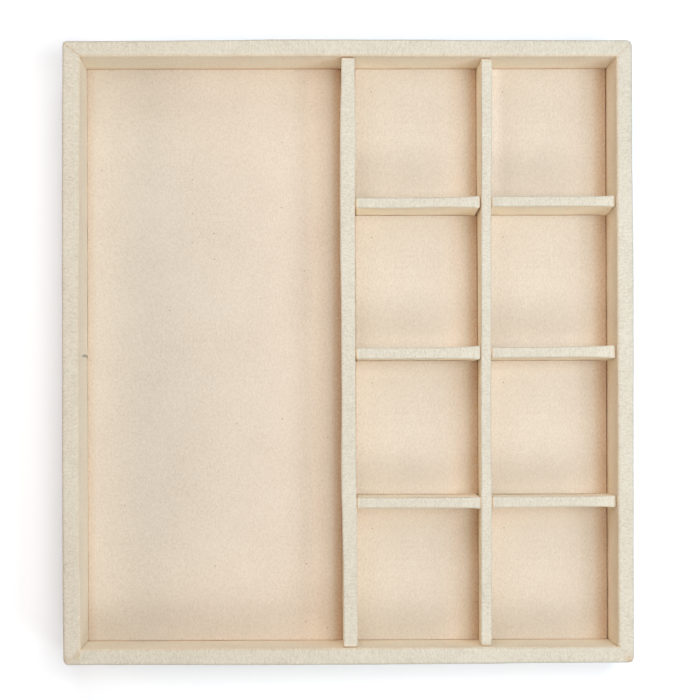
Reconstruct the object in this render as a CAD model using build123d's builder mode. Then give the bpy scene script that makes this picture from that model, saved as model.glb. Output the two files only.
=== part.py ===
from build123d import *
import os

# Jewelry tray covered in cloth: a mitred frame, a base let into it, upright dividers and lining pads.
# It stands open side up. X runs across it, Y from its front to its back, Z up.
# The origin is the middle of its underside. All sizes are in millimetres.

# Whole tray
tray_width = 279.4
tray_length = 304.8
tray_height = 38.1

# Covering cloth, glued over the frame and the dividers
cloth_thickness = 0.7
hem_width = 13.0

# Frame of four boards, mitred at the corners and rebated for the base
frame_board_thickness = 6.6
frame_board_edge_radius = 0.8
frame_board_corner_radius = 1.1
hem_edge_radius = 0.8
rebate_depth = 3.0

# Base board and the felt under it
base_board_thickness = 3.0
base_board_clearance = 0.2
felt_thickness = 0.6
felt_border = 3.0
felt_corner_radius = 3.0
felt_hem_clearance = 0.3

# Main divider, which parts the long compartment from the small ones
main_divider_board_thickness = 5.8
main_divider_drop = 1.5
main_divider_offset = 0.5

# Column divider and cross dividers, thinner and lower than the main one
thin_divider_board_thickness = 3.9
thin_divider_drop = 4.0
rows = 4

# Boards and cloth of every divider
divider_board_edge_radius = 0.5
divider_board_end_radius = 0.3
divider_end_clearance = 0.25

# Lining pads: a card with the lining cloth turned over its edges
pad_card_thickness = 1.5
lining_cloth_thickness = 0.6
lining_edge_radius = 0.5
pad_clearance = 0.5

# How far a cutting shape runs past what it cuts
overrun = 1.0

# Heights above the surface that the tray stands on
hem_bottom = felt_thickness
board_bottom = hem_bottom + cloth_thickness
base_top = board_bottom + base_board_thickness
board_top = tray_height - cloth_thickness
main_divider_top = tray_height - main_divider_drop
thin_divider_top = tray_height - thin_divider_drop

# Space inside the covered frame
wall_thickness = frame_board_thickness + 2 * cloth_thickness
inside_width = tray_width - 2 * wall_thickness
inside_length = tray_length - 2 * wall_thickness
inside_left = -inside_width / 2
inside_right = inside_width / 2
inside_front = -inside_length / 2
inside_back = inside_length / 2

# Frame boards between their cloth, and the opening that the rebate leaves for the base board
board_ring_width = tray_width - 2 * cloth_thickness
board_ring_length = tray_length - 2 * cloth_thickness
rebate_width = board_ring_width - 2 * (frame_board_thickness - rebate_depth)
rebate_length = board_ring_length - 2 * (frame_board_thickness - rebate_depth)

# Dividers, cloth included
main_divider_thickness = main_divider_board_thickness + 2 * cloth_thickness
thin_divider_thickness = thin_divider_board_thickness + 2 * cloth_thickness
main_divider_left = main_divider_offset - main_divider_thickness / 2
main_divider_right = main_divider_offset + main_divider_thickness / 2
column_divider_middle = (main_divider_right + inside_right) / 2
column_divider_left = column_divider_middle - thin_divider_thickness / 2
column_divider_right = column_divider_middle + thin_divider_thickness / 2

# Small compartments: two columns of equal rows, numbered from the back
columns = {
    "inner": (main_divider_right, column_divider_left),
    "outer": (column_divider_right, inside_right),
}
cell_length = (inside_length - (rows - 1) * thin_divider_thickness) / rows
row_pitch = cell_length + thin_divider_thickness

os.makedirs("parts", exist_ok=True)


def save(piece, name):
    """Names a finished piece and writes it."""
    piece.label = name
    export_step(piece, f"parts/{name}.step")


def side_outline(side):
    """Corners, in plan, of the part of the tray that belongs to one side, cut off at 45 degrees."""
    out = overrun
    reach = hem_width + overrun
    half_width, half_length = tray_width / 2, tray_length / 2
    if side in ("front", "back"):
        way = 1 if side == "back" else -1
        return [
            (-half_width - out, way * (half_length + out)),
            (half_width + out, way * (half_length + out)),
            (half_width - reach, way * (half_length - reach)),
            (-half_width + reach, way * (half_length - reach)),
        ]
    way = 1 if side == "right" else -1
    return [
        (way * (half_width + out), -half_length - out),
        (way * (half_width + out), half_length + out),
        (way * (half_width - reach), half_length - reach),
        (way * (half_width - reach), -half_length + reach),
    ]


# Frame as one ring, before it is cut into its four sides
with BuildPart() as board_ring:
    with BuildSketch(Plane.XY.offset(board_bottom)):
        RectangleRounded(board_ring_width, board_ring_length, frame_board_corner_radius)
    extrude(amount=board_top - board_bottom)
    with BuildSketch(Plane.XY.offset(board_bottom)):
        Rectangle(inside_width + 2 * cloth_thickness, inside_length + 2 * cloth_thickness)
    extrude(amount=board_top - board_bottom, mode=Mode.SUBTRACT)
    fillet(board_ring.edges().group_by(Axis.Z)[-1], frame_board_edge_radius)
    with BuildSketch(Plane.XY.offset(board_bottom)):
        Rectangle(rebate_width, rebate_length)
    extrude(amount=base_board_thickness, mode=Mode.SUBTRACT)

# Cloth over the ring: down the outside and under it as a hem, and down the inside to the base board
with BuildPart() as cloth_ring:
    with BuildSketch(Plane.XY.offset(hem_bottom)):
        RectangleRounded(tray_width, tray_length, frame_board_corner_radius + cloth_thickness)
    extrude(amount=tray_height - hem_bottom)
    fillet(cloth_ring.edges().group_by(Axis.Z)[0], hem_edge_radius)
    with BuildSketch(Plane.XY.offset(base_top)):
        Rectangle(inside_width, inside_length)
    extrude(amount=tray_height - base_top, mode=Mode.SUBTRACT)
    fillet(
        cloth_ring.edges().group_by(Axis.Z)[-1],
        frame_board_edge_radius + cloth_thickness,
    )
    with BuildSketch(Plane.XY.offset(hem_bottom)):
        Rectangle(tray_width - 2 * hem_width, tray_length - 2 * hem_width)
    extrude(amount=cloth_thickness, mode=Mode.SUBTRACT)
    with BuildSketch(Plane.XY.offset(board_bottom)):
        Rectangle(rebate_width, rebate_length)
    extrude(amount=base_board_thickness, mode=Mode.SUBTRACT)
    add(board_ring.part, mode=Mode.SUBTRACT)

for side in ("front", "back", "left", "right"):
    for ring, name in ((board_ring, "frame_board"), (cloth_ring, "frame_cloth")):
        with BuildPart() as mitred_side:
            add(ring.part)
            with BuildSketch():
                with BuildLine():
                    Polyline(side_outline(side), close=True)
                make_face()
            extrude(amount=tray_height + overrun, mode=Mode.INTERSECT)
        save(mitred_side.part, f"{name}_{side}")

# Base board, glued into the frame's rebate
with BuildPart() as base_board:
    with BuildSketch(Plane.XY.offset(board_bottom)):
        Rectangle(rebate_width - 2 * base_board_clearance, rebate_length - 2 * base_board_clearance)
    extrude(amount=base_board_thickness)
save(base_board.part, "base_board")

# Felt under the base: thin where it laps over the hem, and as thick as both in the middle
with BuildPart() as base_felt:
    with BuildSketch():
        RectangleRounded(tray_width - 2 * felt_border, tray_length - 2 * felt_border, felt_corner_radius)
    extrude(amount=felt_thickness)
    with BuildSketch(Plane.XY.offset(felt_thickness)):
        Rectangle(
            tray_width - 2 * (hem_width + felt_hem_clearance),
            tray_length - 2 * (hem_width + felt_hem_clearance),
        )
    extrude(amount=cloth_thickness)
save(base_felt.part, "base_felt")


def divider(name, number, middle, thickness, length, along, top):
    """Writes a divider's board and the cloth cap over it, standing on the base board."""
    frame = Plane(origin=(*middle, base_top), x_dir=along, z_dir=(0, 0, 1))
    board_length = length - 2 * cloth_thickness
    board_thickness = thickness - 2 * cloth_thickness
    with BuildPart() as board:
        with BuildSketch(frame):
            Rectangle(board_length, board_thickness)
        extrude(amount=top - cloth_thickness - base_top)
        fillet(board.edges().filter_by(Axis.Z), divider_board_end_radius)
        fillet(board.edges().group_by(Axis.Z)[-1], divider_board_edge_radius)
    save(board.part, f"{name}_board{number}")
    with BuildPart() as cap:
        with BuildSketch(frame):
            Rectangle(length, thickness)
        extrude(amount=top - base_top)
        fillet(cap.edges().filter_by(Axis.Z), divider_board_end_radius + cloth_thickness)
        fillet(cap.edges().group_by(Axis.Z)[-1], divider_board_edge_radius + cloth_thickness)
        add(board.part, mode=Mode.SUBTRACT)
    save(cap.part, f"{name}_cloth{number}")


divider(
    "main_divider",
    "",
    (main_divider_offset, 0),
    main_divider_thickness,
    inside_length - 2 * divider_end_clearance,
    (0, 1, 0),
    main_divider_top,
)
divider(
    "column_divider",
    "",
    (column_divider_middle, 0),
    thin_divider_thickness,
    inside_length - 2 * divider_end_clearance,
    (0, 1, 0),
    thin_divider_top,
)
for column, (left, right) in columns.items():
    for row in range(1, rows):
        divider(
            f"{column}_cross_divider",
            f"_{row}",
            ((left + right) / 2, inside_back - row * row_pitch + thin_divider_thickness / 2),
            thin_divider_thickness,
            right - left - 2 * divider_end_clearance,
            (1, 0, 0),
            thin_divider_top,
        )


def lining_pad(name, number, left, right, front, back):
    """Writes the card and the lining cloth of the pad that fills the floor of one compartment."""
    middle = Plane(origin=((left + right) / 2, (front + back) / 2, base_top))
    width = right - left - 2 * pad_clearance
    length = back - front - 2 * pad_clearance
    with BuildPart() as card:
        with BuildSketch(middle):
            Rectangle(width - 2 * lining_cloth_thickness, length - 2 * lining_cloth_thickness)
        extrude(amount=pad_card_thickness)
    save(card.part, f"{name}_card{number}")
    with BuildPart() as lining:
        with BuildSketch(middle):
            Rectangle(width, length)
        extrude(amount=pad_card_thickness + lining_cloth_thickness)
        fillet(lining.edges().filter_by(Axis.Z), lining_edge_radius)
        fillet(lining.edges().group_by(Axis.Z)[-1], lining_edge_radius)
        add(card.part, mode=Mode.SUBTRACT)
    save(lining.part, f"{name}_cloth{number}")


lining_pad("large_pad", "", inside_left, main_divider_left, inside_front, inside_back)
for column, (left, right) in columns.items():
    for row in range(1, rows + 1):
        back = inside_back - (row - 1) * row_pitch
        lining_pad(f"{column}_pad", f"_{row}", left, right, back - cell_length, back)
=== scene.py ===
import math

import bpy
import numpy as np
from mathutils import Matrix, Vector, noise


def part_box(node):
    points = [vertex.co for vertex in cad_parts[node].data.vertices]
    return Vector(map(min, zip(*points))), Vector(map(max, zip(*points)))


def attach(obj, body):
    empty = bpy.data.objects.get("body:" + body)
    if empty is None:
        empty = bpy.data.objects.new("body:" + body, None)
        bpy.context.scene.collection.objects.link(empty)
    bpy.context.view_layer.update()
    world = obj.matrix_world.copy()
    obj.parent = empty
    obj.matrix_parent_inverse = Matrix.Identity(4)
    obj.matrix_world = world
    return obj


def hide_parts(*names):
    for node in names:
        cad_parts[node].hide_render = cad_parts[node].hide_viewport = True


# Everything is in metres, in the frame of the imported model; MM turns millimetres into metres.
MM = 0.001

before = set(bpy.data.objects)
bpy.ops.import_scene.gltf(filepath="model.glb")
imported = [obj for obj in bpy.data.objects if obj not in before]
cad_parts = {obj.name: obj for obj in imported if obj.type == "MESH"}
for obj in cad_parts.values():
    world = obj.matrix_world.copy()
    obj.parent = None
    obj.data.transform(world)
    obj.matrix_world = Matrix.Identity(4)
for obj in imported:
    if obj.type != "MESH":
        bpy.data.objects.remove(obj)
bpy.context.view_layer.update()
scene = bpy.context.scene

# Sizes of the frame and of what lies in it
left_cloth_low, left_cloth_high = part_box("frame_cloth_left")
left_board_low, left_board_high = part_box("frame_board_left")
half_width, half_length = -left_cloth_low.x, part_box("frame_cloth_back")[1].y
cloth_thickness = left_board_low.x - left_cloth_low.x
hem_width = left_cloth_high.x - left_cloth_low.x
corner_radius = 1.5 * MM
base_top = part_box("base_board")[1].z
lining_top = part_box("large_pad_cloth")[1].z
hem_bottom = left_cloth_low.z
felt_clearance = 0.3 * MM
felt_step = (hem_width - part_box("base_felt")[0].x - half_width + felt_clearance, hem_bottom)
wall_width = left_board_high.x - left_cloth_low.x


# Node graphs

class Graph:
    """One material, with short calls that add its nodes."""

    def __init__(self, name):
        self.material = bpy.data.materials.new(name)
        self.material.use_nodes = True
        self.tree = self.material.node_tree
        self.tree.nodes.clear()

    def add(self, kind, inputs=None, **settings):
        """Adds a node with its settings, and wires or sets its inputs by name or number."""
        node = self.tree.nodes.new("ShaderNode" + kind)
        for setting, value in settings.items():
            setattr(node, setting, value)
        for key, value in (inputs or {}).items():
            if isinstance(value, bpy.types.NodeSocket):
                self.tree.links.new(value, node.inputs[key])
            else:
                node.inputs[key].default_value = value
        return node

    def math(self, operation, *values, clamp=False):
        """The result of a math node."""
        return self.add("Math", dict(enumerate(values)), operation=operation, use_clamp=clamp).outputs[0]

    def between(self, value, low, high, to_low=0.0, to_high=1.0):
        """Value remapped from low..high to to_low..to_high, and held inside it."""
        inputs = {"Value": value, "From Min": low, "From Max": high, "To Min": to_low, "To Max": to_high}
        return self.add("MapRange", inputs, clamp=True).outputs[0]

    def mix(self, share, first, second, blend="MIX"):
        """A mix of two colours, which runs on past the second where the share is over 1."""
        node = self.add(
            "Mix", {0: share, 6: first, 7: second}, data_type="RGBA", blend_type=blend, clamp_factor=False
        )
        return node.outputs[2]

    def point(self, x=0.0, y=0.0, z=0.0):
        """A vector from three numbers."""
        return self.add("CombineXYZ", {0: x, 1: y, 2: z}).outputs[0]

    def noise(self, where, scale, detail=2.0, roughness=0.5):
        """Smooth noise from 0 to 1 at a place."""
        inputs = {"Vector": where, "Scale": scale, "Detail": detail, "Roughness": roughness}
        return self.add("TexNoise", inputs, noise_dimensions="3D").outputs["Fac"]

    def finish(self, shader):
        """Ends the graph in a shader."""
        self.add("OutputMaterial", {"Surface": shader.outputs[0]})
        return self.material

    def finish_matte(self, colour, roughness, bump, specular=0.25, more=None):
        """Ends the graph in a matte surface, which more can add inputs to."""
        inputs = {
            "Base Color": colour, "Roughness": roughness, "Normal": bump.outputs[0],
            "Specular IOR Level": specular,
        }
        return self.finish(self.add("BsdfPrincipled", inputs | (more or {})))


def rgb(red, green, blue):
    """An opaque colour."""
    return (red, green, blue, 1.0)


def plain_weave(graph, along, around, place, pitch, seed):
    """Height and tone, both from 0 to 1, of the threads of a plain weave, pitch apart in millimetres."""
    # Threads wander a little from straight
    wander_scale, wander_reach = 0.14, 1.4
    turned_place = graph.point(around, along, seed + 5)
    wander = graph.math("SUBTRACT", graph.noise(place, wander_scale), 0.5)
    stray = graph.math("SUBTRACT", graph.noise(turned_place, wander_scale), 0.5)
    warp = graph.math("DIVIDE", graph.math("MULTIPLY_ADD", wander, wander_reach, along), pitch[0])
    weft = graph.math("DIVIDE", graph.math("MULTIPLY_ADD", stray, wander_reach, around), pitch[1])

    # Each thread is a dome, and rides over or under the ones that cross it
    warp_wave = graph.math("SINE", graph.math("MULTIPLY", warp, math.pi))
    weft_wave = graph.math("SINE", graph.math("MULTIPLY", weft, math.pi))
    crossing = graph.math("MULTIPLY", warp_wave, weft_wave)
    over = graph.between(crossing, -0.3, 0.3)
    under = graph.math("SUBTRACT", 1.0, over)
    dipped, rise = 0.4, 0.6
    heights = [
        graph.math(
            "MULTIPLY", graph.math("ABSOLUTE", wave), graph.math("MULTIPLY_ADD", above, rise, dipped)
        )
        for wave, above in ((warp_wave, over), (weft_wave, under))
    ]
    thread = graph.math("MAXIMUM", *heights)

    # Each thread has its own tone, which changes along it; apart keeps neighbours' tones unlike
    apart, change = 3.71, 0.22
    warp_number = graph.math("MULTIPLY", graph.math("FLOOR", warp), apart)
    weft_number = graph.math("MULTIPLY", graph.math("FLOOR", weft), apart)
    warp_tone = graph.noise(graph.point(warp_number, graph.math("MULTIPLY", around, change), seed), 1.0)
    weft_tone = graph.noise(graph.point(graph.math("MULTIPLY", along, change), weft_number, seed), 1.0)
    tone = graph.math(
        "ADD", graph.math("MULTIPLY", over, warp_tone), graph.math("MULTIPLY", under, weft_tone)
    )
    return thread, tone


def with_shade_and_dust(graph, colour, place):
    """A colour under painted shade and dust, laid on unevenly; where it is deepest it is dark."""
    # Painted shade in seams, at the feet of walls and on folded and shaded edges, and dirt in the mitres
    # and on the rubbed outer corners
    shade_and_dust_tint, deep_shade_and_dust, deepest = rgb(0.89, 0.66, 0.46), rgb(0.20, 0.11, 0.05), 0.9
    shade_and_dust = graph.add("Attribute", attribute_name="shade_and_dust").outputs["Fac"]
    uneven = graph.between(graph.noise(place, 0.9), 0.3, 0.7, 0.55, 1.25)
    shade_and_dust_amount = graph.math("MULTIPLY", shade_and_dust, uneven)
    shaded_and_soiled = graph.mix(1.0, colour, shade_and_dust_tint, blend="MULTIPLY")
    colour = graph.mix(graph.between(shade_and_dust_amount, 0.0, 1.0), colour, shaded_and_soiled)
    return graph.mix(graph.between(shade_and_dust_amount, 1.0, 2.0, 0.0, deepest), colour, deep_shade_and_dust)


def with_fibres(graph, colour, along, around, flecks, seed):
    """A colour with short dark fibres caught in the yarn, one in each of a share of the cells."""
    fibre_brown, strongest, narrow, per_millimetre = rgb(0.27, 0.15, 0.085), 0.85, 0.8, 0.11
    cell_place = graph.point(graph.math("MULTIPLY", along, narrow), around, seed)
    inputs = {"Vector": cell_place, "Scale": per_millimetre}
    cells = graph.add("TexVoronoi", inputs, voronoi_dimensions="2D")
    cell_number = graph.add("SeparateColor", {0: cells.outputs["Color"]}).outputs[0]
    chosen = graph.math("LESS_THAN", cell_number, flecks)
    near = graph.between(cells.outputs["Distance"], 0.014, 0.04, 1.0, 0.0)
    fleck = graph.math("MULTIPLY", graph.math("MULTIPLY", chosen, near), strongest)
    return graph.mix(fleck, colour, fibre_brown)


def woven_cloth(name, tones, fill_tint, pitch, depth, crinkle_depth, streak, contrast, flecks, seed):
    """Plain-woven cloth that follows its piece's weave map, whose unit is a metre of cloth.

    tones are its dark, middle and light colours, its fill tint what they are multiplied by under painted
    fill light, pitch the spacing of its threads along and across, depth their height and crinkle_depth that
    of its puckers, all in millimetres.
    far the colour follows its threads, puckers, patches, domes and slubs, and flecks the share of spots
    with a dark fibre in them.
    """
    graph = Graph(name)
    weave = graph.add("SeparateXYZ", {0: graph.add("UVMap", uv_map="weave").outputs[0]})
    along = graph.math("MULTIPLY", weave.outputs[0], 1 / MM)
    around = graph.math("MULTIPLY", weave.outputs[1], 1 / MM)
    place = graph.point(along, around, seed)
    thread, tone = plain_weave(graph, along, around, place, pitch, seed)

    # Slubs and puckers, longer across the piece than along it, and broad patches
    fine = graph.point(along, graph.math("DIVIDE", around, streak[0]), seed + 2)
    slub = graph.noise(fine, 1.9, detail=1.0)
    stretched = graph.point(along, graph.math("DIVIDE", around, streak[1]), seed + 9)
    crinkle = graph.noise(stretched, 1.2, detail=3.0, roughness=0.6)
    patch = graph.noise(place, 0.035, detail=3.0)

    # Each share of the level swings around its own mean
    level = graph.math("MULTIPLY_ADD", tone, contrast[0], 0.5 - contrast[0] / 2)
    means = (0.5, 0.5, 0.75, 0.5)
    for value, swing, mean in zip((crinkle, patch, thread, slub), contrast[1:], means):
        level = graph.math("ADD", level, graph.math("MULTIPLY_ADD", value, swing, -swing * mean))
    dark_half = graph.mix(graph.between(level, 0.0, 0.5), rgb(*tones[0]), rgb(*tones[1]))
    colour = graph.mix(graph.between(level, 0.5, 1.0), dark_half, rgb(*tones[2]))

    # Painted fill light: faces inside the compartments and bands of the linings are painted lighter, the
    # cover also warmer, up to the palest colour
    palest = rgb(0.95, 0.95, 0.95)
    painted_fill = graph.add("Attribute", attribute_name="painted_fill").outputs["Fac"]
    filled = graph.mix(1.0, colour, rgb(*fill_tint), blend="MULTIPLY")
    filled = graph.mix(1.0, filled, palest, blend="DARKEN")
    colour = graph.mix(painted_fill, colour, filled)
    colour = with_shade_and_dust(graph, colour, place)
    colour = with_fibres(graph, colour, along, around, flecks, seed)

    height = graph.math("MULTIPLY", thread, depth * MM)
    height = graph.math("MULTIPLY_ADD", crinkle, crinkle_depth * MM, height)
    height = graph.math("MULTIPLY_ADD", slub, crinkle_depth * 0.5 * MM, height)
    height = graph.math("MULTIPLY_ADD", tone, depth * 0.5 * MM, height)
    bump = graph.add("Bump", {"Strength": 1.0, "Distance": 1.0, "Height": height})
    roughness = graph.between(thread, 0.0, 1.0, 0.97, 0.86)
    sheen = {"Sheen Weight": 0.34, "Sheen Roughness": 0.6}
    return graph.finish_matte(colour, roughness, bump, more=sheen)


def pressed_fibre(name, dark, light, grain, depth, roughness):
    """Board, card or felt: matted fibres with no direction."""
    graph = Graph(name)
    place = graph.add("TexCoord").outputs["Object"]
    fibres = graph.noise(place, grain, detail=6.0, roughness=0.7)
    patch = graph.noise(place, grain / 12, detail=3.0)
    level = graph.math("ADD", graph.math("MULTIPLY", fibres, 0.7), graph.math("MULTIPLY", patch, 0.3))
    colour = graph.mix(graph.between(level, 0.3, 0.7), rgb(*dark), rgb(*light))
    bump = graph.add("Bump", {"Strength": 1.0, "Distance": depth * MM, "Height": fibres})
    uneven = graph.between(fibres, 0.2, 0.8, roughness, roughness - 0.1)
    return graph.finish_matte(colour, uneven, bump)


def spun_fibre(name, colour, shade):
    """Loose thread: one yarn, a little darker in places."""
    graph = Graph(name)
    place = graph.add("TexCoord").outputs["Object"]
    twist = graph.noise(place, 900.0)
    tint = graph.mix(graph.between(twist, 0.3, 0.7), rgb(*shade), rgb(*colour))
    bump = graph.add("Bump", {"Strength": 0.6, "Distance": 0.05 * MM, "Height": twist})
    return graph.finish_matte(tint, 0.9, bump, specular=0.2)


# Mesh helpers

def relief(place, size, seed):
    """One of many smooth noises from about -1 to 1, at a place, with waves of about the given size."""
    return noise.noise(Vector(place) / size + Vector((seed * 7.3, seed * 3.1, seed * 5.7)))


def puckers(place, seed, *waves):
    """Small puckers at a place, summed from noises of a (height, size) each."""
    return sum(height * relief(place, size, seed + i) for i, (height, size) in enumerate(waves))


def smooth_step(value, low, high):
    """0 below low, 1 above high, and eased between them."""
    share = min(max((value - low) / (high - low), 0.0), 1.0)
    return share * share * (3 - 2 * share)


def fade(value, low, high):
    """1 below low, 0 above high, and eased between them."""
    return 1 - smooth_step(value, low, high)


def bell(value, width):
    """1 where the value is 0, falling to nothing a few widths away."""
    return math.exp(-((value / width) ** 2))


def table_at(table, place):
    """A value between the rows of a table of (place, value), eased from row to row."""
    for (start, first), (end, second) in zip(table, table[1:]):
        if place <= end:
            return first + (second - first) * smooth_step(place, start, end)
    return table[-1][1]


def spread(low, high, step):
    """Even places from low to high, about a step apart."""
    count = max(1, round((high - low) / step))
    return [low + (high - low) * i / count for i in range(count + 1)]


def add_object(name, data):
    """A new object in the scene."""
    thing = bpy.data.objects.new(name, data)
    scene.collection.objects.link(thing)
    return thing


def make_piece(name, points, faces, weave, material, painted_fill, shade_and_dust):
    """A piece that rides with the tray, from points and faces, with its weave map per face corner.

    Each point carries how much painted fill light it has, and how much painted shade and dust it holds.
    """
    mesh = bpy.data.meshes.new(name)
    mesh.from_pydata([tuple(p) for p in points], [], faces)
    for kind, values in (("painted_fill", painted_fill), ("shade_and_dust", shade_and_dust)):
        layer = mesh.attributes.new(kind, "FLOAT", "POINT")
        layer.data.foreach_set("value", np.asarray(values, np.float32))
    weave_map = mesh.uv_layers.new(name="weave")
    weave_map.data.foreach_set("uv", np.asarray(weave, np.float32).ravel())
    mesh.polygons.foreach_set("use_smooth", np.ones(len(faces), bool))
    mesh.materials.append(material)
    mesh.validate()
    mesh.update()
    piece = add_object(name, mesh)
    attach(piece, "root")
    return piece


def close_shell(outer, inner, faces, weave):
    """One closed shell of cloth from an outer and an inner skin with the same layout."""
    count = len(outer)
    used = {(face[i], face[(i + 1) % len(face)]) for face in faces for i in range(len(face))}
    rim = [edge for edge in used if edge[::-1] not in used]
    # The joined edge takes its weave from the outer skin
    at = {}
    for face, corners in zip(faces, weave):
        at.update(zip(face, corners))
    shell = list(faces)
    shell += [tuple(i + count for i in reversed(face)) for face in faces]
    shell += [(b, a, a + count, b + count) for a, b in rim]
    maps = [corner for corners in weave for corner in corners]
    maps += [corner for corners in weave for corner in reversed(corners)]
    maps += [at[i] for a, b in rim for i in (b, a, a, b)]
    return list(outer) + list(inner), shell, maps


# Cloth over the frame

def board_profile(side_box, cloth):
    """The line that the cloth follows around a frame board, from under the base to the inside.

    side_box holds the board's inner face and its bottom, its top, the hem's inner edge and the base's top.
    Each point is (inward, up, inward part of the normal, upward part of the normal, length so far), with
    inward counted from the tray's outer face.
    """
    inner_face, bottom, top, hem, base_top = side_box
    foot_radius, edge_radius = 0.1 * MM, 0.8 * MM
    corners = [
        ((hem, bottom), 0.0),
        ((cloth, bottom), foot_radius),
        ((cloth, top), edge_radius),
        ((inner_face, top), edge_radius),
        ((inner_face, base_top), 0.0),
    ]
    # How far apart the points lie under the board, outside it, over it and inside it
    steps = [2.5 * MM, 1.4 * MM, 1.0 * MM, 1.4 * MM]
    line = []
    for index in range(len(steps)):
        (start, start_radius), (end, end_radius) = corners[index], corners[index + 1]
        run = Vector((end[0] - start[0], end[1] - start[1]))
        way = run.normalized()
        normal = Vector((-way.y, way.x))
        for place in spread(start_radius, run.length - end_radius, steps[index]):
            line.append((Vector(start) + way * place, normal))
        if index < len(steps) - 1:
            after = corners[index + 2][0]
            next_way = Vector((after[0] - end[0], after[1] - end[1])).normalized()
            next_normal = Vector((-next_way.y, next_way.x))
            centre = Vector(end) + (next_way - way) * end_radius
            # Four points round the corner, between the ends of the straight runs
            for turn in (0.2, 0.4, 0.6, 0.8):
                angle = turn * math.pi / 2
                normal_here = (normal * math.cos(angle) + next_normal * math.sin(angle)).normalized()
                line.append((centre + normal_here * end_radius, normal_here))
    length, profile, last = 0.0, [], line[0][0]
    for point, normal in line:
        length += (point - last).length
        last = point
        profile.append((point.x, point.y, normal.x, normal.y, length))
    return profile


def plan_point(half, corner, inward, back):
    """(along, inward) of a point of the line that lies inward of the tray's outer face.

    The line follows the rounded corner, and the point is at a distance back from the mitre on it.
    """
    radius = corner - inward
    if radius <= 0:
        return half - inward - back, inward
    arc = radius * math.pi / 4
    if back >= arc:
        return half - corner - (back - arc), inward
    angle = math.pi / 4 - back / radius
    return half - corner + radius * math.sin(angle), corner - radius * math.cos(angle)


def sewn_thickness(thickness, cloth, spot, z, here, facing_out, facing_in):
    """The frame cloth's thickness with its puckers and its sunken seam.

    cloth is its even thickness, spot the place of its puckers, and here the distance from the mitre.
    """
    # The mitre's seam sinks in, and the outer corner is cut back; depths are in millimetres
    seam_reach, seam_depth, inner_seam_depth = 1.1 * MM, 0.42, 0.06
    cut_reach, cut_depth = 1.3 * MM, 0.5
    # Least thickness of the cloth, so that it covers its board, away from the cut and at it
    thinnest, thinnest_at_cut = 0.12, -0.02
    # The outer face is straight at its foot, and free to bend above these heights
    freeing, foot_seam, foot_bend = (1.3 * MM, 9 * MM), 0.4, 0.15

    cut = facing_out * bell(here, cut_reach)
    thickness -= cut_depth * MM * cut
    thickness += puckers(spot, 1, (0.10 * MM, 16 * MM), (0.05 * MM, 5 * MM))
    free = max(smooth_step(z, *freeing), facing_in)
    seam = bell(here, seam_reach) * (foot_seam + (1 - foot_seam) * free)
    thickness = cloth + (thickness - cloth) * (foot_bend + (1 - foot_bend) * free)
    thickness -= (seam_depth - (seam_depth - inner_seam_depth) * facing_in) * MM * seam
    return max(thickness, (thinnest - (thinnest - thinnest_at_cut) * cut) * MM)


def frame_shade_and_dust(x, z, top, here, facing_in, wall_shade, mitre, corner):
    """How much painted shade and dust the frame's cloth holds at a place in its profile, at a distance here
    from the mitre.

    Its inner face's painted shade is given as a pair, at the foot and above, and mitre and corner say how
    dusty those are.
    """
    mitre_width, mitre_start = 0.28 * MM, (0.9 * MM, 1.6 * MM)
    corner_end, corner_height = (1.5 * MM, 4 * MM), (top - 9 * MM, top - 2 * MM)
    foot_height = (lining_top - 0.5 * MM, lining_top + 5 * MM)
    # The rim's inner edge, which faces in about this far, carries a little painted shade
    edge_facing, edge_spread, rim_edge_shade = 0.6, 0.25, 0.2

    in_mitre = mitre * bell(here, mitre_width) * smooth_step(x, *mitre_start)
    rubbed = corner * fade(max(here, x), *corner_end) * smooth_step(z, *corner_height)
    # Painted shade on the inner face, deepest at its foot
    inner_face_shade = facing_in * (wall_shade[1] + (wall_shade[0] - wall_shade[1]) * fade(z, *foot_height))
    shaded_rim_edge = rim_edge_shade * bell(facing_in - edge_facing, edge_spread)
    return max(in_mitre, rubbed, inner_face_shade, shaded_rim_edge)


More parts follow.
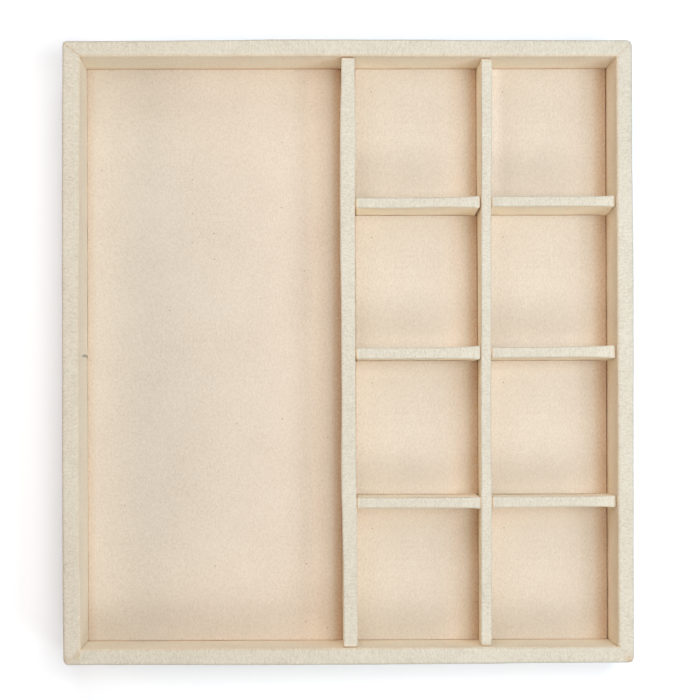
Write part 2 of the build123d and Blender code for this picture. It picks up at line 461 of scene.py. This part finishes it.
def frame_cloth(name, turn, half, across, profile, cloth, corner, shape, leans, coats, material):
    """The cloth over one side of the frame, mitred at both ends.

    turn places the side: it takes (along, outward, up) to the tray's frame. half is half the side's length
    outside, and across is how far out its outer face lies. shape gives how far its outer face stands out
    and its inner face leans in at the top, as tables of (share of the length, millimetres), and how much
    thicker the cloth is at the foot of the inner face. leans are how far the neighbours' inner faces lean
    in at the first and the last end. coats holds how much painted fill light the inner face has, how much
    painted shade it has at its foot and above, and then how dusty the mitres and the outer corners are,
    each at the first and the last end.
    """
    top = max(row[1] for row in profile)
    inner_face, foot = profile[-1][:2]
    outer_bow, inner_lean, foot_extra = shape
    wall_fill, wall_shade, mitres, corners = coats
    # Where the inner face starts to lean, and how far from the mitre it meets its neighbour's lean
    lean_start, meeting = 2 * MM, 20 * MM
    # Points within near of the mitre keep their distance from it along every line of the profile
    near = 5 * MM
    # Distances back from the mitre to the middle of the side, closest together at the seam
    backs = [0.0, 0.2, 0.45, 0.75, 1.1, 1.6, 2.3, 3.2, 4.4]
    backs = [b * MM for b in backs] + spread(6 * MM, half - hem_width, 1.6 * MM)
    # From the last end's mitre to the first end's
    ways = [(1, b) for b in backs] + [(-1, b) for b in reversed(backs[:-1])]
    outer, inner, maps, painted_fill, shade_and_dust = [], [], [], [], []
    width = len(profile)
    for way, back in ways:
        end = 1 if way > 0 else 0
        for x, z, out_x, out_z, length in profile:
            reach = half - x if x > corner else half - corner + (corner - x) * math.pi / 4
            here = back
            if back >= near:
                here = near + (back - near) * (reach - near) / (half - hem_width - near)
            along, inward = plan_point(half, corner, x, here)
            share = 0.5 + way * along / (2 * half)
            facing_out, facing_in = max(-out_x, 0.0), max(out_x, 0.0)
            depth = (top - z) / (top - foot)
            leaning = smooth_step(x, lean_start, inner_face) * max(1 - depth, 0.0) * MM
            lean = table_at(inner_lean, share) * leaning
            met = lean - leans[end] * leaning
            thickness = cloth
            thickness += facing_out * table_at(outer_bow, share) * MM
            thickness += facing_in * foot_extra * depth * MM
            # The puckers differ from side to side
            spot = (way * along + across, z * 0.8 + x, across)
            thickness = sewn_thickness(thickness, cloth, spot, z, here, facing_out, facing_in)
            outer_x, outer_z = x + out_x * thickness + lean, z + out_z * thickness
            outer_along, outer_in = plan_point(half, corner, max(outer_x, 0.0), here)
            outer_in += min(outer_x, 0.0)
            # The end follows the neighbour's face where that leans
            outer_along += met * fade(here, 0.0, meeting)
            outer.append(turn(way * outer_along, across - outer_in, outer_z))
            inner.append(turn(way * along, across - inward, z))
            maps.append((way * along, length))
            # Painted fill light on the inner face, and painted shade and dust
            painted_fill.append(wall_fill * smooth_step(facing_in, 0.5, 1.0))
            shade_and_dust.append(frame_shade_and_dust(x, z, top, here, facing_in, wall_shade, mitres[end], corners[end]))
    faces = []
    for i in range(len(ways) - 1):
        for j in range(width - 1):
            a, b = i * width + j, (i + 1) * width + j
            faces.append((a, a + 1, b + 1, b))
    if turned_in(outer, inner, faces):
        faces = [tuple(reversed(face)) for face in faces]
    weave = [[maps[i] for i in face] for face in faces]
    points, shell, corners = close_shell(outer, inner, faces, weave)
    return make_piece(name, points, shell, corners, material, painted_fill * 2, shade_and_dust * 2)


def turned_in(outer, inner, faces):
    """Whether the faces of an outer skin look towards its inner skin, by one face well inside it."""
    face = faces[len(faces) // 2 + len(faces) // 7]
    a, b, c = (Vector(outer[i]) for i in face[:3])
    away = Vector(outer[face[0]]) - Vector(inner[face[0]])
    return (b - a).cross(c - b).dot(away) < 0


# Cloth caps over dividers and pads

# Where a block's flat part begins, in radiuses of its rounded edge
FLAT_FROM = 1.15
# How far a divider's cloth is drawn in at its sides, in millimetres
DRAWN_IN = 0.16


def edge_places(radius):
    """How far in from a block's side the points over its rounded edge lie."""
    return [radius * (1 - math.tan(math.radians(angle))) for angle in (45, 32, 18, 6)]


def block_places(low, high, radius, step):
    """Places along one side of a rounded block, closer together over its rounded edges."""
    edge = edge_places(radius)
    return (
        [low + inset for inset in edge]
        + spread(low + radius * FLAT_FROM, high - radius * FLAT_FROM, step)
        + [high - inset for inset in reversed(edge)]
    )


def open_block(xs, ys, zs):
    """Lattice points and faces of a block with no underside; each face comes with the way it looks."""
    index, points, faces = {}, [], []

    def at(i, j, k):
        if (i, j, k) not in index:
            index[i, j, k] = len(points)
            points.append((xs[i], ys[j], zs[k]))
        return index[i, j, k]

    def square(i, j, turned=False):
        """The corners of a cell, anticlockwise, or clockwise where it is turned."""
        corners = ((i, j), (i + 1, j), (i + 1, j + 1), (i, j + 1))
        return corners[:1] + corners[:0:-1] if turned else corners

    nx, ny, nz = len(xs) - 1, len(ys) - 1, len(zs) - 1
    for i in range(nx):
        for j in range(ny):
            faces.append((tuple(at(a, b, nz) for a, b in square(i, j)), "up"))
    for k in range(nz):
        for i in range(nx):
            faces.append((tuple(at(a, 0, c) for a, c in square(i, k)), "front"))
            faces.append((tuple(at(a, ny, c) for a, c in square(i, k, turned=True)), "back"))
        for j in range(ny):
            faces.append((tuple(at(nx, b, c) for b, c in square(j, k)), "right"))
            faces.append((tuple(at(0, b, c) for b, c in square(j, k, turned=True)), "left"))
    return points, faces


def rounded(point, low, high, radius):
    """A block's point moved onto its rounded form, and the way the form looks there."""
    x, y = (min(max(point[i], low[i] + radius), high[i] - radius) for i in (0, 1))
    core = Vector((x, y, min(point[2], high[2] - radius)))
    away = Vector(point) - core
    normal = away.normalized() if away.length > 1e-9 else Vector((0, 0, 1))
    return core + normal * radius, normal


def sizes_of(node, along):
    """A node's box around its middle, as (low, high) with its long side first, and the middle."""
    low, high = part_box(node)
    middle = (low + high) / 2
    half = (high - low) / 2
    if along == "y":
        half = Vector((half.y, half.x, half.z))
    return Vector((-half.x, -half.y, low.z)), Vector((half.x, half.y, high.z)), middle


def cap(node, board, along, radius, inner_radius, steps, form, coat, material):
    """A cap in place of a cloth node: an outer skin, one against its board, and their joined lower edge.

    steps are how far apart its points lie along each axis. form(point, normal) moves a point of the outer
    skin, and coat(point, normal) gives its painted fill light and its painted shade. Both work around the
    middle of the piece.
    """
    low, high, middle = sizes_of(node, along)
    inner_low, inner_high = sizes_of(board, along)[:2]

    def place(point):
        """Takes a point around the middle to the tray's frame."""
        x, y = (point[0], point[1]) if along == "x" else (-point[1], point[0])
        return (middle.x + x, middle.y + y, point[2])

    xs, ys = (block_places(low[i], high[i], radius, steps[i]) for i in (0, 1))
    zs = spread(low[2], high[2] - radius * FLAT_FROM, steps[2])
    zs += [high[2] - inset for inset in reversed(edge_places(radius))]
    lattice, faces = open_block(xs, ys, zs)
    outer, inner, coats = [], [], []
    for point in lattice:
        spot, normal = rounded(point, low, high, radius)
        coats.append(coat(spot, normal))
        outer.append(place(form(spot, normal)))
        share = [(point[i] - low[i]) / (high[i] - low[i]) for i in range(3)]
        within = [inner_low[i] + share[i] * (inner_high[i] - inner_low[i]) for i in range(3)]
        inner.append(place(rounded(within, inner_low, inner_high, inner_radius)[0]))
    # The weave runs on down the sides from the top
    weave = []
    for face, way in faces:
        corners = []
        for i in face:
            x, y, z = lattice[i]
            drop = high[2] - z
            if way in ("front", "back"):
                y = (high[1] + drop) if way == "back" else (low[1] - drop)
            if way in ("left", "right"):
                x = (high[0] + drop) if way == "right" else (low[0] - drop)
            corners.append((x, y))
        weave.append(corners)
    points, shell, maps = close_shell(outer, inner, [face for face, way in faces], weave)
    painted_fill, shade_and_dust = ([values[i] for values in coats] * 2 for i in (0, 1))
    return make_piece("cloth_" + node, points, shell, maps, material, painted_fill, shade_and_dust)


def divider_cloth(name, board, along, fold, reach, swell, feet, wall_shade, material):
    """The cloth over one divider, with folds at its ends.

    fold is how much thicker the fold at its last end is, as a share, and reach how far its first end runs
    on, at the top, to meet its neighbour. swell gives, for its low and its high side, how far its top
    stands out from straight, as tables of (share of the length, millimetres); this fades to nothing at its
    foot. feet gives the same for its foot, and fades to nothing at its top. The argument after feet is how
    much painted shade lies at its foot.
    """
    low, high = sizes_of(name, along)[:2]
    board_side = sizes_of(board, along)[1].y
    # Between these heights a side changes from its foot's form to its top's
    rising = (low.z + 4 * MM, high.z - 3 * MM)
    # The ends: the reach of their fold, the crease beside it, and how far the first one runs on at its foot
    fold_reach, foot_reach = 5 * MM, 0.3 * MM
    crease_place, crease_width, crease_depth = 3.4 * MM, 0.5 * MM, 0.10
    # How far the top sinks at the first and the last end
    droop_width, start_droop, end_droop = 1.6 * MM, 0.1, 0.35
    # Thinnest cloth beside the board, and how much painted fill light its sides have
    thinnest, side_fill = 0.1 * MM, 1.22
    foot_height = (lining_top - 0.5 * MM, lining_top + 6 * MM)
    # Each divider has its own puckers
    seed = sum(map(ord, name)) % 37

    def form(point, normal):
        share = (point[0] - low[0]) / (high[0] - low[0])
        from_start, from_end = point[0] - low[0], high[0] - point[0]
        height = smooth_step(point[2], *rising)
        wave = puckers(point, seed, (0.09, 11 * MM), (0.05, 4 * MM))
        wave -= DRAWN_IN * abs(normal.y)
        crease = crease_depth * bell(min(from_start, from_end) - crease_place, crease_width)
        moved = point + normal * (wave - crease * abs(normal.y)) * MM
        moved.y *= 1 + fold * bell(from_end, fold_reach)
        side = (point[1] - low[1]) / (high[1] - low[1])
        for tables, weight in ((swell, height), (feet, 1 - height)):
            stray = side * table_at(tables[1], share) - (1 - side) * table_at(tables[0], share)
            moved.y += stray * weight * MM
        # The cloth always covers its board
        if abs(normal.y) > 0.5:
            moved.y = math.copysign(max(abs(moved.y), board_side + thinnest), normal.y)
        # The first end is pressed against its neighbour, and the last one droops short of it
        moved.x -= (foot_reach + (reach - foot_reach) * height) * max(-normal.x, 0.0)
        droop = start_droop * bell(from_start, droop_width) + end_droop * bell(from_end, droop_width)
        moved.z -= droop * MM * max(normal.z, 0.0)
        return moved

    def coat(point, normal):
        # Painted fill light on the upright sides, and painted shade at the foot and on the ends
        upright = fade(normal.z, 0.0, 0.9)
        at_foot = fade(point.z, *foot_height)
        end_shade = smooth_step(abs(normal.x), 0.25, 0.9)
        return side_fill * upright, max(wall_shade * upright * at_foot, end_shade)

    piece = cap(
        name, board, along, radius=0.95 * MM, inner_radius=0.4 * MM, steps=(1.6 * MM, 0.8 * MM, 2.0 * MM),
        form=form, coat=coat, material=material,
    )
    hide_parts(name)


def lining_cloth(name, card, spare, bands, material):
    """The lining cloth of one pad, turned over the edges of its card.

    Its folded edges bulge to fill most of the gap around it; spare is how far short of its nominal place
    the bulge stops at the left, right, front and back, in millimetres. bands are how much painted light
    lightens it along those four sides, then how much painted shade lies at the left and on its right edge.
    """
    low, high = sizes_of(name, "x")[:2]
    spare_left, spare_right, spare_front, spare_back = spare
    left, right, front, back, left_edge_shade, right_edge_shade = bands
    # How far the folded edges bulge, and how square the folds are at the corners
    bulge, squareness = 0.46, 1.6
    # Painted shade of the folded edges and of the strip along the right one, and that strip's width
    fold_shade, right_strip_shade, strip_width = 0.8, 0.75, (5 if right else 9) * MM
    # Each lining has its own puckers
    seed = sum(map(ord, name)) % 41

    def form(point, normal):
        spot = (point[0], point[1], 0)
        wave = puckers(spot, seed, (0.10, 30 * MM), (0.05, 9 * MM))
        edge = bulge + puckers(spot, seed + 2, (0.04, 6 * MM))
        edge_x = edge - (spare_left if normal.x < 0 else spare_right)
        edge_y = edge - (spare_front if normal.y < 0 else spare_back)
        out_x, out_y = (max(-1.0, min(1.0, squareness * way)) for way in (normal.x, normal.y))
        return point + Vector((out_x * edge_x, out_y * edge_y, max(normal.z, 0.0) * wave)) * MM

    def coat(point, normal):
        # Painted shade at the edges, most of all at the right, and painted light in from them
        from_left, from_right = point.x - low.x, high.x - point.x
        from_front, from_back = point.y - low.y, high.y - point.y
        lining_fill = left * fade(from_left, 3 * MM, 10 * MM)
        lining_fill += right * smooth_step(from_right, 3 * MM, 6 * MM) * fade(from_right, 11 * MM, 20 * MM)
        lining_fill += front * fade(from_front, 0.0, 9 * MM)
        lining_fill += back * fade(from_back, 1 * MM, 11 * MM)
        left_shade = left_edge_shade * fade(from_left, 0.5 * MM, 5 * MM)
        at_right = right_strip_shade * fade(from_right, 0.5 * MM, strip_width)
        edge = fold_shade * (1 - max(normal.z, 0.0) ** 2)
        return lining_fill, max(left_shade, at_right, edge, right_edge_shade * smooth_step(normal.x, 0.4, 0.9))

    piece = cap(
        name, card, "x", radius=0.5 * MM, inner_radius=0.1 * MM, steps=(2.0 * MM, 2.0 * MM, 0.8 * MM),
        form=form, coat=coat, material=material,
    )
    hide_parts(name)


# Felt under the base

def rounded_ring(half_width, half_length, radius, inset):
    """Points, anticlockwise, of a rounded rectangle whose sides lie inset inward of the outer ones."""
    radius = max(radius - inset, 0.05 * MM)
    turns, runs = 5, 24
    reach_x, reach_y = half_width - inset - radius, half_length - inset - radius
    ring = []
    for quarter in range(4):
        sign_x, sign_y = ((1, 1), (-1, 1), (-1, -1), (1, -1))[quarter]
        centre = Vector((sign_x * reach_x, sign_y * reach_y))
        for turn in range(turns + 1):
            angle = (quarter + turn / turns) * math.pi / 2
            ring.append(centre + radius * Vector((math.cos(angle), math.sin(angle))))
        # Points along the side that follows
        run = 2 * (reach_x if quarter % 2 == 0 else reach_y)
        way = Vector(((-1, 0), (0, -1), (1, 0), (0, 1))[quarter])
        start = ring[-1]
        ring += [start + way * run * i / runs for i in range(1, runs)]
    return ring


def felt_pad(node, step, material):
    """The felt under the base, from its box and the (inset, height) of its step up inside the hem."""
    low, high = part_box(node)
    half = (high - low) / 2
    corner = 3 * MM
    (step_inset, lap), full = step, high.z
    # Rings of points as (inset, height), from the middle of the underside round to that of the top
    inner = spread(step_inset + 2 * MM, min(half.x, half.y) - 3 * MM, 8 * MM)
    underside = [(inset, 0.0) for inset in reversed([0.4 * MM, 2 * MM, 6 * MM] + inner)]
    edge = [(0.12 * MM, 0.08 * MM), (0.0, lap / 2), (0.1 * MM, lap - 0.06 * MM), (0.4 * MM, lap)]
    upper = [(step_inset, lap), (step_inset, full)] + [(inset, full) for inset in inner]
    rings = underside + edge + upper
    points, faces, weave = [], [], []
    for inset, height in rings:
        for spot in rounded_ring(half.x, half.y, corner, inset):
            lift = 0.02 * (1 + relief((spot.x, spot.y, 0), 7 * MM, 5)) if height == 0.0 else 0.0
            points.append((spot.x, spot.y, low.z + height + lift * MM))
    around = len(points) // len(rings)
    for ring in range(len(rings) - 1):
        for i in range(around):
            j = (i + 1) % around
            a, b = ring * around, (ring + 1) * around
            faces.append((a + i, a + j, b + j, b + i))
    faces.append(tuple(reversed(range(around))))
    faces.append(tuple(range(len(points) - around, len(points))))
    for face in faces:
        weave += [points[i][:2] for i in face]
    none = [0.0] * len(points)
    piece = make_piece("cloth_" + node, points, faces, weave, material, none, none)
    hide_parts(node)


# Materials of the tray
# Each cloth's fill tint is painted fill light on faces inside the compartments and on the linings' bands
cover = woven_cloth(
    "cover_cloth",
    tones=[(0.57, 0.515, 0.40), (0.72, 0.672, 0.550), (0.83, 0.795, 0.69)], fill_tint=(1.40, 1.25, 1.14),
    pitch=(0.52, 0.60), depth=0.10, crinkle_depth=0.11, streak=(2.2, 2.4),
    contrast=(0.40, 0.18, 0.35, 0.25, 1.15), flecks=0.004, seed=3.0,
)
lining = woven_cloth(
    "lining_cloth",
    tones=[(0.62, 0.53, 0.425), (0.717, 0.635, 0.525), (0.785, 0.72, 0.615)], fill_tint=(1.17, 1.19, 1.24),
    pitch=(0.40, 0.44), depth=0.06, crinkle_depth=0.08, streak=(2.1, 1.8),
    contrast=(0.45, 0.68, 0.45, 0.2, 1.10), flecks=0.07, seed=11.0,
)
fibreboard = pressed_fibre("fibreboard", (0.30, 0.19, 0.11), (0.52, 0.37, 0.24), 900.0, 0.1, 0.9)
grey_card = pressed_fibre("grey_card", (0.28, 0.26, 0.23), (0.44, 0.42, 0.38), 1200.0, 0.05, 0.9)
felt = pressed_fibre("felt", (0.54, 0.45, 0.34), (0.72, 0.63, 0.50), 1600.0, 0.25, 0.97)

# Boards and cards. The nodes of cloth and felt are replaced further on
for node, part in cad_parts.items():
    finish = grey_card if "card" in node else fibreboard
    part.data.materials.clear()
    part.data.materials.append(finish)

# Frame cloth
profile = board_profile(
    (wall_width, left_board_low.z, left_board_high.z, hem_width, base_top), cloth_thickness
)
# How far the rim's outline stands out from straight, and how far the inner faces lean in at the top
outer_bows = {
    "back": [(0.0, -0.2), (0.1, -0.2), (0.25, 0.1), (0.4, 0.5), (0.6, 0.35), (0.75, 0.0), (1.0, -0.05)],
    "front": [(0.0, -0.2), (0.12, -0.15), (0.3, 0.2), (0.5, 0.4), (0.7, 0.4), (0.82, 0.1), (1.0, 0.1)],
    "left": [
        (0.0, -0.35), (0.15, -0.1), (0.3, 0.0), (0.5, -0.1), (0.7, -0.15), (0.85, -0.3),
        (1.0, -0.75),
    ],
    "right": [(0.0, -0.3), (0.2, -0.3), (0.35, 0.1), (0.5, 0.1), (0.65, -0.15), (1.0, -0.35)],
}
inner_leans = {
    "back": [(0.0, -0.2), (0.5, -0.3), (0.7, 0.0), (1.0, 0.0)],
    "front": [(0.0, 0.0), (0.45, 0.0), (0.6, -0.35), (1.0, -0.35)],
    "left": [(0.0, 0.7), (0.08, 0.6), (0.2, 0.0), (0.55, -0.1), (0.75, 0.5), (0.9, 0.8), (1.0, 1.1)],
    "right": [(0.0, 0.0), (1.0, 0.0)],
}
# Each side: its turn, its neighbours at its first and last end, the cloth's extra at the foot of its inner
# face, and its coats: painted fill light, painted shade at the foot and above, and dust of mitres and
# corners
sides = {
    "back": (
        lambda a, o, z: (a, o, z), ("left", "right"), 0.1, (0.85, (0.8, 0.0), (0.9, 0.3), (0.0, 0.0)),
    ),
    "front": (
        lambda a, o, z: (-a, -o, z), ("right", "left"), 0.0, (1.0, (0.5, 0.0), (0.2, 0.4), (0.8, 0.2)),
    ),
    "left": (
        lambda a, o, z: (-o, a, z), ("front", "back"), 0.45, (0.68, (0.05, 0.0), (0.4, 0.9), (0.2, 0.0)),
    ),
    "right": (
        lambda a, o, z: (o, -a, z), ("back", "front"), 0.7, (0.75, (1.5, 0.16), (0.3, 0.2), (0.0, 0.45)),
    ),
}
# Frayed threads of the cloth's cut edge, out of the mitre at the front left corner, in millimetres
thread_routes = (
    [(-131.4, -144.6, 36.0), (-131.5, -145.2, 38.0), (-131.7, -146.4, 38.4), (-131.9, -147.6, 38.4),
     (-132.4, -148.7, 38.5), (-131.7, -149.5, 38.5), (-130.9, -148.9, 38.5), (-131.3, -148.0, 38.4)],
    [(-131.6, -146.0, 38.4), (-132.3, -147.4, 38.4), (-133.3, -148.9, 38.4), (-135.2, -150.0, 38.3)],
    [(-131.2, -144.8, 37.0), (-130.8, -146.2, 38.4), (-131.1, -147.6, 38.5), (-132.4, -149.0, 38.4),
     (-132.9, -149.8, 38.3)],
)
yarn = spun_fibre("yarn", (0.90, 0.84, 0.66), (0.80, 0.66, 0.44))
thread_radius = 0.14 * MM
curve = bpy.data.curves.new("frayed_threads", "CURVE")
curve.dimensions = "3D"
curve.bevel_depth = thread_radius
curve.use_fill_caps = True
curve.materials.append(yarn)
for route in thread_routes:
    spline = curve.splines.new("NURBS")
    spline.points.add(len(route) - 1)
    for point, spot in zip(spline.points, route):
        point.co = (*(Vector(spot) * MM), 1.0)
    spline.order_u = 3
    spline.use_endpoint_u = True
frayed = add_object("frayed_threads", curve)
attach(frayed, "root")

for side, (turn, neighbours, extra, coats) in sides.items():
    half, across = (half_width, half_length) if side in ("back", "front") else (half_length, half_width)
    # A side's last end meets its neighbour's first one, and its first end the other's last one
    leans = (inner_leans[neighbours[0]][-1][1], inner_leans[neighbours[1]][0][1])
    piece = frame_cloth(
        f"cloth_frame_{side}", turn, half, across, profile, cloth_thickness, corner_radius,
        (outer_bows[side], inner_leans[side], extra), leans, coats, cover,
    )
    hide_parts(f"frame_cloth_{side}")

# Divider cloth. The low and the high side are the right and the left one of the dividers that run back, and
# the front and the back one of the others.
main_swell = (
    [
        (0.0, 0.3), (0.1, 0.25), (0.2, 0.2), (0.3, -0.15), (0.5, -0.35), (0.7, -0.45),
        (0.86, 0.1), (1.0, -0.3),
    ],
    [
        (0.0, -0.45), (0.12, -0.4), (0.2, 0.1), (0.28, 0.65), (0.42, 0.35), (0.55, 0.45), (0.7, 0.85),
        (0.86, 0.8), (1.0, 0.0),
    ],
)
column_swell = (
    [(0.0, -0.35), (0.2, -0.05), (0.4, -0.3), (0.55, 0.0), (0.75, 0.2), (0.9, 0.75), (1.0, 0.85)],
    [(0.0, 0.6), (0.2, 0.45), (0.4, 0.35), (0.6, 0.0), (0.75, -0.15), (0.9, -0.4), (1.0, -0.4)],
)
cross_swell = {
    "inner_1": (
        [(0.0, 0.35), (0.3, 0.45), (0.7, 0.1), (1.0, 0.0)],
        [(0.0, -0.2), (0.5, -0.2), (0.8, 0.0), (1.0, 0.25)],
    ),
    "inner_2": (
        [(0.0, 0.95), (1.0, 0.85)],
        [(0.0, -0.45), (0.35, -0.45), (0.65, -0.35), (0.8, 0.0), (1.0, 0.1)],
    ),
    "inner_3": ([(0.0, 0.6), (1.0, 0.6)], [(0.0, -0.2), (0.4, -0.45), (1.0, -0.4)]),
    "outer_1": ([(0.0, -0.15), (0.4, -0.25), (1.0, -0.4)], [(0.0, 0.3), (0.3, 0.5), (1.0, 0.3)]),
    "outer_2": (
        [(0.0, 0.5), (0.5, 0.4), (0.7, 0.25), (1.0, 0.4)],
        [(0.0, -0.3), (0.45, -0.4), (0.6, 0.1), (1.0, 0.3)],
    ),
    "outer_3": (
        [(0.0, 0.55), (0.35, 0.5), (0.6, 0.2), (1.0, 0.1)],
        [(0.0, 0.05), (0.4, -0.05), (1.0, 0.05)],
    ),
}
no_swell = [(0.0, 0.0), (1.0, 0.0)]
column_feet = (no_swell, [(0.0, -0.5), (0.4, -0.5), (0.65, -0.4), (0.85, 0.0), (1.0, 0.0)])
# How far each cross divider's foot stands out to the front, from the back one to the front one
cross_feet = (0.75, 0.7, 0.0)
end_reach = 0.2 * MM
# Painted shade at the dividers' feet, deeper at the column divider's
wall_shade, deeper_wall_shade = 0.3, 0.6
for divider, swell, feet, shade_and_dust_amount in (
    ("main", main_swell, (no_swell, no_swell), wall_shade), ("column", column_swell, column_feet, deeper_wall_shade)
):
    divider_cloth(
        f"{divider}_divider_cloth", f"{divider}_divider_board", "y", 0.0, end_reach, swell, feet,
        shade_and_dust_amount, cover,
    )


def gap_beside(neighbour, swell, node):
    """The gap between a cross divider's first end and the top of the divider that it meets there."""
    low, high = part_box(neighbour)
    start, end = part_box(node)
    share = ((start.y + end.y) / 2 - low.y) / (high.y - low.y)
    return start.x - high.x + (DRAWN_IN - table_at(swell, share)) * MM


end_fold = 0.16
for column, neighbour, swell in (
    ("inner", "main", main_swell[0]), ("outer", "column", column_swell[0])
):
    for row, foot in enumerate(cross_feet, 1):
        node = f"{column}_cross_divider_cloth_{row}"
        reach = gap_beside(f"{neighbour}_divider_cloth", swell, node)
        divider_cloth(
            node, f"{column}_cross_divider_board_{row}", "x", end_fold, reach,
            cross_swell[f"{column}_{row}"], ([(0.0, foot), (1.0, foot)], no_swell), wall_shade, cover,
        )

# Lining pads. How far each stays short of what is beside it
at_frame, at_back, at_right, at_divider = 0.0, 0.06, 0.74, -0.14
# The large pad: painted light in from its right, and painted shade at its left and on its right edge
lining_cloth(
    "large_pad_cloth", "large_pad_card", (0.4, at_divider, at_frame, at_back),
    (0.0, 0.6, 0.0, 0.0, 0.35, 0.75), lining,
)
# How far the column divider's foot draws back beside each row
column_retreat = (0.0, 0.35, 0.45, 0.45)
# How much painted light lightens each row's linings at the left, the front and the back
fill_left = {"inner": (0.1, 0.1, 0.15, 0.0), "outer": (1.1, 0.3, 0.25, 0.15)}
fill_front, fill_back = (0.7, 0.55, 0.2, 0.0), (0.0, 0.1, 0.55, 1.1)
for column in ("inner", "outer"):
    for row in (1, 2, 3, 4):
        spare = (
            at_divider,
            at_right if column == "outer" else at_divider - column_retreat[row - 1],
            at_frame if row == 4 else at_divider,
            at_back if row == 1 else at_divider + cross_feet[row - 2],
        )
        # Painted light in from the right edge, and painted shade on it
        fill_right, right_edge_shade = (0.5, 1.2) if column == "inner" else (0.0, 1.6)
        bands = (
            fill_left[column][row - 1], fill_right, fill_front[row - 1], fill_back[row - 1], 0.0, right_edge_shade
        )
        lining_cloth(f"{column}_pad_cloth_{row}", f"{column}_pad_card_{row}", spare, bands, lining)

felt_pad("base_felt", felt_step, felt)


# Floor: white where the camera looks at it in full light, and darker in the tray's shadow
graph = Graph("floor")
rays = graph.add("LightPath")
seen = graph.math("MAXIMUM", rays.outputs["Is Camera Ray"], rays.outputs["Is Glossy Ray"])
seen = graph.math("MAXIMUM", seen, rays.outputs["Is Transmission Ray"])
strength = graph.math("MULTIPLY", seen, 0.35)
glow = graph.add("Emission", {"Color": rgb(1.0, 1.0, 1.0), "Strength": strength})
paper = graph.add("BsdfDiffuse", {"Color": rgb(0.75, 0.80, 0.85)})
graph.finish(graph.add("AddShader", {0: paper.outputs[0], 1: glow.outputs[0]}))
mesh = bpy.data.meshes.new("floor")
reach = 3.0
corners = [(-reach, -reach, 0), (reach, -reach, 0), (reach, reach, 0), (-reach, reach, 0)]
mesh.from_pydata(corners, [], [(0, 1, 2, 3)])
mesh.materials.append(graph.material)
floor = add_object("floor", mesh)

# Light: a dim room and soft lamps all around the tray, the strongest high at its right
world = bpy.data.worlds.new("room")
world.use_nodes = True
background = world.node_tree.nodes["Background"]
background.inputs["Color"].default_value = rgb(1.0, 1.0, 1.0)
background.inputs["Strength"].default_value = 0.052
scene.world = world


def lamp(name, turn, tilt, distance, size, power, colour=(1.0, 1.0, 1.0)):
    """A square soft lamp that faces the tray's middle.

    turn is its bearing from the tray's right towards its back, and tilt its angle from straight above, in
    degrees. distance and size are in metres, and power is in watts.
    """
    light = bpy.data.lights.new(name, "AREA")
    light.shape = "SQUARE"
    light.size = size
    light.energy = power
    light.color = colour
    aim = Matrix.Rotation(math.radians(turn), 4, "Z") @ Matrix.Rotation(math.radians(tilt), 4, "Y")
    add_object(name, light).matrix_world = aim @ Matrix.Translation((0, 0, distance))


# Distances and sizes of the lamps
near, far = 0.55, 0.90
small, middling, large = 0.18, 0.30, 0.38
lamp("key", 2, 11, far, large, 3.25, (1.0, 0.92, 0.85))
lamp("right", 12, 30, near, small, 0.78, (0.62, 0.80, 1.0))
lamp("back_left", 120, 30, near, small, 0.46)
lamp("back", 90, 45, far, middling, 1.15)
lamp("front", -90, 45, far, middling, 1.00)
lamp("front_right", -45, 45, far, middling, 1.62)
lamp("left", 180, 60, far, middling, 1.55, (1.0, 0.71, 0.56))

# Camera: above, half a degree from plumb, with the photograph's framing
camera_data = bpy.data.cameras.new("camera")
camera_data.sensor_width = 36.0
camera_data.lens = 93.99
camera_data.shift_x = 0.0046
camera_data.shift_y = 0.0926
camera = add_object("camera", camera_data)
camera.location = (-8.07 * MM, -34.45 * MM, 929.6 * MM)
camera.rotation_euler = (math.radians(0.24), math.radians(-0.469), math.radians(-0.161))
scene.camera = camera
scene.view_settings.view_transform = "Standard"
